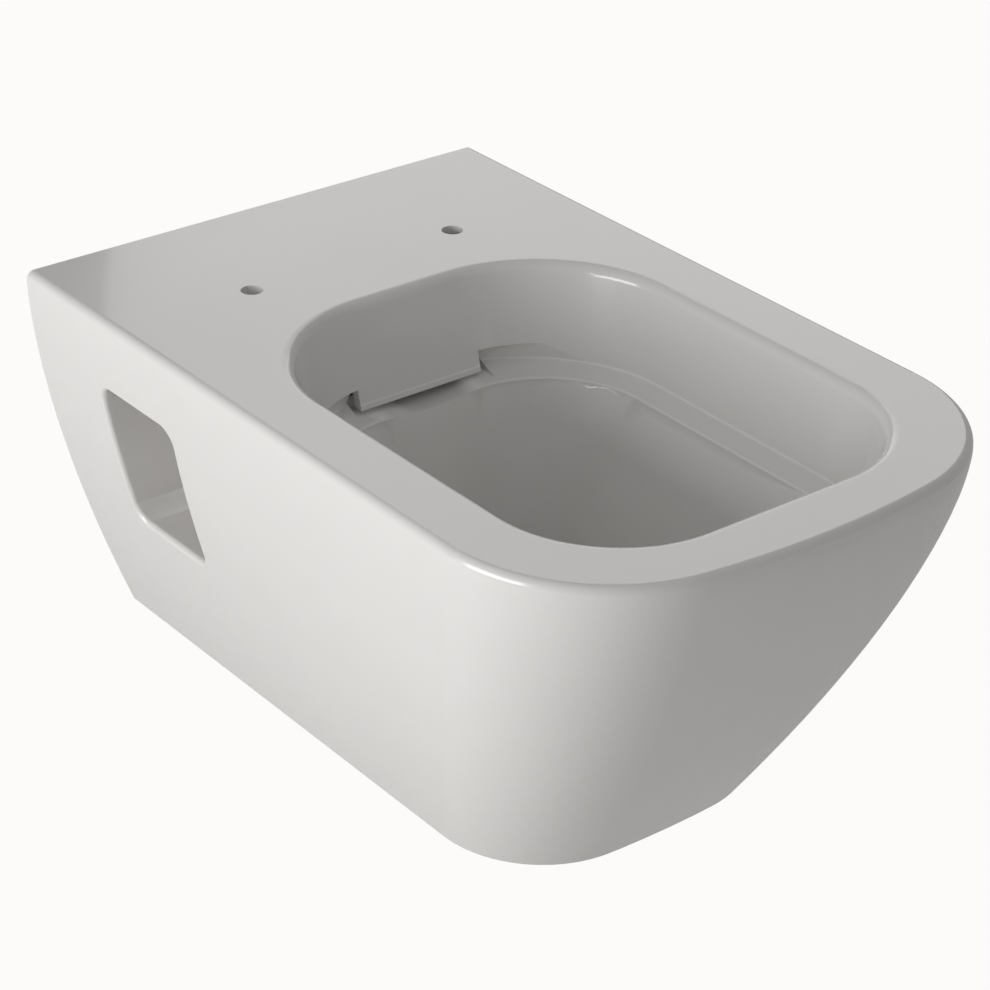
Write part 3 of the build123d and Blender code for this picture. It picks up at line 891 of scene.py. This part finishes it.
def ring_mesh():
    """Flat ring with three low lips on its outside."""
    x, z, radius, front, back = hub("outlet_seal")
    root = radius - ring_groove
    pitch = (back - front) / ring_lips
    corners = [(ring_bore, back), (ring_bore, front)]
    for number in range(ring_lips):
        start = front + number * pitch
        corners.append((root, start + 0.1 * pitch))
        corners += [(radius, start + 0.35 * pitch), (radius, start + 0.65 * pitch)]
    corners.append((root, back - 0.1 * pitch))
    return skin("outlet_ring", eased(corners, ring_edge, steps=3), (x, z), 128, True)


mesh = ring_mesh()
mesh.materials.append(rubber)
new_piece("outlet_ring", mesh, "pan", "seal_rubber", "outlet_seal")

# The waste connector: moulded dark polyethylene, a socket over the spigot that narrows to the
# 90 mm pipe in the wall. Rings on the pipe show where it may be cut.
waste_radius = 0.045
waste_wall = 0.003
socket_wall = 0.0035
socket_depth = 0.040
cut_ring_places = (0.028, 0.036, 0.044)
cut_ring_height = 0.0004
cut_ring_foot = 0.0008
cut_ring_crest = 0.0003
rim_height = 0.004
rim_step = 0.0008
rim_slope = 0.001
waste_chamfer = 0.001
connector_edge = 0.0004


def connector_mesh():
    """Socket with a stiff rim, a sloped shoulder and the pipe."""
    x, z, radius, front, back = hub("waste_connector")
    inside = radius - socket_wall
    shoulder = front + socket_depth
    slope = radius - waste_radius
    corners = [
        (inside + waste_chamfer, front),
        (radius, front),
        (radius, front + rim_height),
        (radius - rim_step, front + rim_height + rim_slope),
        (radius - rim_step, shoulder + rim_slope),
        (radius, shoulder + 2 * rim_slope),
        (radius, shoulder + socket_wall),
        (waste_radius, shoulder + socket_wall + slope),
    ]
    for place in cut_ring_places:
        corners += [
            (waste_radius, place - cut_ring_foot),
            (waste_radius + cut_ring_height, place - cut_ring_crest),
            (waste_radius + cut_ring_height, place + cut_ring_crest),
            (waste_radius, place + cut_ring_foot),
        ]
    corners += [
        (waste_radius, back - 2 * waste_chamfer),
        (waste_radius - waste_chamfer, back),
        (waste_radius - waste_wall, back),
        (waste_radius - waste_wall, shoulder + slope),
        (inside, shoulder),
        (inside, front + 2 * waste_chamfer),
    ]
    return skin("waste_bend_socket", eased(corners, connector_edge, steps=3), (x, z), 128, True)


mesh = connector_mesh()
mesh.materials.append(polyethylene)
new_piece("waste_bend_socket", mesh, "pan", "waste_connector", "waste_connector")

# The room: a pale floor 400 mm below the rim, a white surround that only the camera sees, and two
# soft studio lamps, one to the left of the pan and one behind it.
floor_height = pan_top - 0.400
floor_reach = 12.0
floor_colour = (0.86, 0.855, 0.845)
floor_roughness = 0.85
floor_glow = 0.96
surround_colour = (1.0, 0.986, 0.972)
sky_colour = (1.0, 0.99, 0.98)
sky_strength = 0.32
pan_middle = Vector((0.0, -0.27, -0.02))


def floor_finish():
    """Pale floor that the camera sees as the white surround, darkened only by the shadow."""
    material = bpy.data.materials.new("pale floor")
    material.use_nodes = True
    nodes, link = material.node_tree.nodes, material.node_tree.links.new
    shader = nodes["Principled BSDF"]
    shader.inputs["Base Color"].default_value = (*floor_colour, 1)
    shader.inputs["Roughness"].default_value = floor_roughness
    glow = nodes.new("ShaderNodeEmission")
    glow.inputs["Color"].default_value = (*surround_colour, 1)
    seen = nodes.new("ShaderNodeLightPath")
    blend = nodes.new("ShaderNodeMixShader")
    share = nodes.new("ShaderNodeMath")
    share.operation = "MULTIPLY"
    share.inputs[1].default_value = floor_glow
    link(seen.outputs["Is Camera Ray"], share.inputs[0])
    link(share.outputs["Value"], blend.inputs["Fac"])
    link(shader.outputs["BSDF"], blend.inputs[1])
    link(glow.outputs["Emission"], blend.inputs[2])
    link(blend.outputs["Shader"], nodes["Material Output"].inputs["Surface"])
    return material


mesh = bpy.data.meshes.new("floor")
signs = ((-1, -1), (1, -1), (1, 1), (-1, 1))
corners = [(x * floor_reach, y * floor_reach, floor_height) for x, y in signs]
mesh.from_pydata(corners, [], [(0, 1, 2, 3)])
mesh.materials.append(floor_finish())
floor = bpy.data.objects.new("floor", mesh)
bpy.context.scene.collection.objects.link(floor)

world = bpy.data.worlds.new("studio")
world.use_nodes = True
bpy.context.scene.world = world
nodes, link = world.node_tree.nodes, world.node_tree.links.new
sky = nodes["Background"]
sky.inputs["Color"].default_value = (*sky_colour, 1)
sky.inputs["Strength"].default_value = sky_strength
surround = nodes.new("ShaderNodeBackground")
surround.inputs["Color"].default_value = (*surround_colour, 1)
seen = nodes.new("ShaderNodeLightPath")
choice = nodes.new("ShaderNodeMixShader")
link(seen.outputs["Is Camera Ray"], choice.inputs["Fac"])
link(sky.outputs["Background"], choice.inputs[1])
link(surround.outputs["Background"], choice.inputs[2])
link(choice.outputs["Shader"], nodes["World Output"].inputs["Surface"])


def lamp(name, place, size, power):
    """Square soft box that faces the pan."""
    light = bpy.data.lights.new(name, "AREA")
    light.size = size
    light.energy = power
    holder = bpy.data.objects.new(name, light)
    bpy.context.scene.collection.objects.link(holder)
    holder.location = place
    holder.rotation_euler = (pan_middle - Vector(place)).to_track_quat("-Z", "Y").to_euler()


lamp("left soft box", (-2.4, -0.1, 0.30), 1.5, 39)
lamp("back soft box", (1.6, 1.4, 1.2), 1.6, 8)

# The camera stands where a fit to the outline in the photograph put it, with the photograph's
# small tilt about the line of sight.
camera_place = Vector((-1.002248, -1.505765, 0.859892))
camera_azimuth = math.radians(-38.6156)
camera_rise = math.radians(28.8405)
camera_roll = math.radians(1.0351)
camera_lens = 108.90
camera_sensor = 36

back = Vector(
    (
        math.sin(camera_azimuth) * math.cos(camera_rise),
        -math.cos(camera_azimuth) * math.cos(camera_rise),
        math.sin(camera_rise),
    )
)
level = (-back).cross(Vector((0, 0, 1))).normalized()
upward = level.cross(-back)
right = level * math.cos(camera_roll) + upward * math.sin(camera_roll)
up = upward * math.cos(camera_roll) - level * math.sin(camera_roll)
lens = bpy.data.cameras.new("camera")
lens.lens = camera_lens
lens.sensor_width = camera_sensor
camera = bpy.data.objects.new("camera", lens)
bpy.context.scene.collection.objects.link(camera)
camera.matrix_world = Matrix.Translation(camera_place) @ Matrix((right, up, back)).transposed().to_4x4()
bpy.context.scene.camera = camera
bpy.context.scene.view_settings.view_transform = "Standard"
